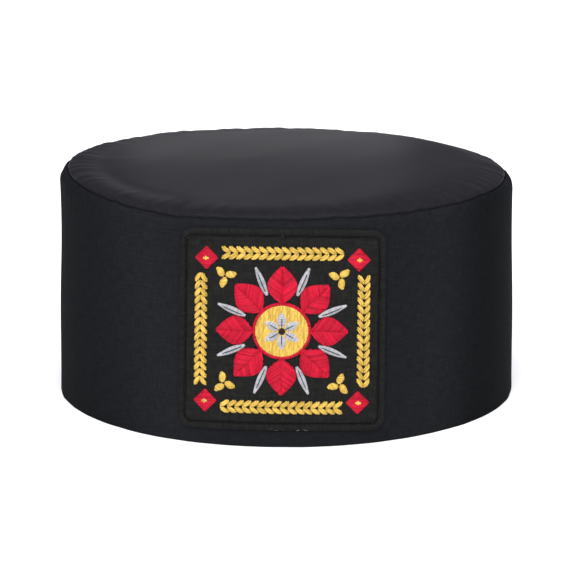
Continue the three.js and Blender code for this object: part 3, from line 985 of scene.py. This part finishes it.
# Square frame. Two rows of gold darts lean together into a plait along each side, between red diamonds
# with a gold seed in each corner. Small gold sprigs point from the rosette to the corners.
frame_margin = 0.0068
diamond_radius = 0.0046
frame_bar_width = 0.0050
frame_bar_gap = 0.0012
dart_pitch = 0.0029
dart_length = 0.0040
dart_width = 0.0017
dart_lean = math.radians(32)
dart_height = 0.0008
diamond_edge = 0.0001
seed_radius, seed_edge = 0.0016, 0.0002
seed_foot, seed_arch = thread_foot + 0.0004, 0.0006
sprig_setback = 0.0103
sprig_root, sprig_reach, sprig_width, sprig_lean = 0.0004, 0.0046, 0.0027, 0.35
corner_right = patch_width / 2 - frame_margin - diamond_radius
corner_up = patch_height / 2 - frame_margin - diamond_radius
corners = np.array([(1, -1), (1, 1), (-1, 1), (-1, -1)]) * (corner_right, corner_up)


def lens(share):
    return (dart_length / 2) * (1 - (2 * share - 1) ** 2) ** 0.55


def dart(middle, heading):
    side_way = np.array([-math.sin(heading), math.cos(heading)]) * dart_width / 2
    return satin_fill(middle - side_way, middle + side_way, lens, height=dart_height)


def diamond(radius, edge):
    return lambda share: radius * (1 - np.abs(2 * share - 1)) + edge


bar_lines, diamond_lines, seed_lines, sprig_lines = [], [], [], []
for i, corner in enumerate(corners):
    following = corners[(i + 1) % len(corners)]
    run = following - corner
    along = run / np.hypot(*run)
    outwards = np.array([along[1], -along[0]])
    bar_length = np.hypot(*run) - 2 * (diamond_radius + frame_bar_gap)
    dart_count = round((bar_length - dart_length) / dart_pitch) + 1
    dart_step = (bar_length - dart_length) / (dart_count - 1)
    first_dart = diamond_radius + frame_bar_gap + dart_length / 2
    heading = math.atan2(along[1], along[0])
    for row in (-1, 1):
        set_out = diamond_radius - frame_bar_width / 2 + row * frame_bar_width / 4
        for k in range(dart_count):
            at = corner + along * (first_dart + k * dart_step) + outwards * set_out
            bar_lines.append(dart(at, heading - row * dart_lean))
    up = np.array([0, diamond_radius - diamond_edge])
    diamond_lines.append(satin_fill(corner - up, corner + up, diamond(diamond_radius, diamond_edge)))
    up = np.array([0, seed_radius])
    seed_shape = diamond(seed_radius, seed_edge)
    seed_lines.append(satin_fill(corner - up, corner + up, seed_shape, foot=seed_foot, height=seed_arch))
    outward_angle = math.atan2(corner[1], corner[0])
    middle = corner * (1 - sprig_setback / np.hypot(*corner))
    for lobe in range(3):
        angle = outward_angle + tau * lobe / 3
        root, tip = (middle + ring_place(radius, angle) for radius in (sprig_root, sprig_reach))
        sprig_lines.append(satin_fill(root, tip, swollen(sprig_width), lean=sprig_lean))

gold_frame = wind_threads("gold_frame", bar_lines, thread_thickness, gold_thread, seed=9)
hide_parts(*[f"frame_bar_{i + 1}" for i in range(4)])
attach(gold_frame, "root")

red_diamonds = wind_threads("red_diamonds", diamond_lines, thread_thickness, red_thread, seed=10)
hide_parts(*[f"corner_diamond_{i + 1}" for i in range(4)])
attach(red_diamonds, "root")

gold_seeds = wind_threads("gold_seeds", seed_lines, thread_thickness, gold_thread, seed=11)
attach(gold_seeds, "root")

gold_sprigs = wind_threads("gold_sprigs", sprig_lines, thread_thickness, gold_thread, seed=12)
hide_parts(*[f"corner_sprig_{i + 1}" for i in range(4)])
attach(gold_sprigs, "root")

# Patch seam. A line of black lockstitch sinks between the ground and the border, and holds the patch to
# the cap.
seam_stitch_length = 0.0026
seam_stitch_space = 0.0006
seam_stitch_foot, seam_stitch_arch, seam_stitch_thickness = sewn_gap + 0.0003, 0.00035, 0.00036
stitched_inset = border_width + border_gap / 2
seam_x, seam_y, stitched_way = patch_line(stitched_inset, 6001)
seam_stitch_count = int(stitched_way[-1] / (seam_stitch_length + seam_stitch_space))
seam_step = stitched_way[-1] / seam_stitch_count
seam_lines = []
for k in range(seam_stitch_count):
    at = np.linspace(k * seam_step, k * seam_step + seam_stitch_length, 5)
    rise = seam_stitch_foot + seam_stitch_arch * np.sin(np.linspace(0, math.pi, 5))
    x, y = (np.interp(at, stitched_way, line) for line in (seam_x, seam_y))
    seam_lines.append(on_patch(x, y, rise))
patch_seam = wind_threads("patch_seam", [seam_lines], seam_stitch_thickness, black_thread, seed=13)
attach(patch_seam, "root")

# Thread ends. The lockstitch is tied off in small knots at the top middle and at the top corner on the
# wearer's right. Short pale threads on the lower border are painted highlights: glints of the border's
# stitches.
knot_threads = 7
knot_inset = 0.0012
knot_foot, knot_arch = sewn_gap + 0.0006, 0.0007
chance = np.random.default_rng(14)
knot_lines = []
seam_right, seam_top = (size / 2 - stitched_inset for size in (patch_width, patch_height))
for knot in ((0.0, seam_top), (knot_inset - seam_right, seam_top - knot_inset)):
    ways = chance.uniform(0, tau, knot_threads)
    reach = np.stack([np.cos(ways), np.sin(ways)], axis=-1)
    reach = reach * chance.uniform(0.0005, 0.0011, knot_threads)[:, None]
    knot_lines.append(stitch_lines(np.array(knot) - reach, np.array(knot) + reach, knot_foot, knot_arch))
thread_knots = wind_threads("thread_knots", knot_lines, vein_thickness, black_thread, seed=14)
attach(thread_knots, "root")

# Painted highlights: a few short pale threads on the lower border stand in for glints of its stitches.
speck_count = 9
speck_foot, speck_arch, speck_thickness = sewn_gap + border_thickness * 0.7, 0.0003, 0.00006
speck_right = chance.uniform(-0.004, 0.010, speck_count)
speck_up = -patch_height / 2 + chance.uniform(0.0002, 0.0009, speck_count)
speck = np.stack([speck_right, speck_up], axis=-1)
speck_half_length = chance.uniform(0.0002, 0.0006, speck_count)
speck_half_rise = chance.uniform(-0.0001, 0.0001, speck_count)
speck_way = np.stack([speck_half_length, speck_half_rise], axis=-1)
glint_lines = stitch_lines(speck - speck_way, speck + speck_way, speck_foot, speck_arch)
border_glints = wind_threads("border_glints", [glint_lines], speck_thickness, pale_thread, sides=5, seed=15)
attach(border_glints, "root")
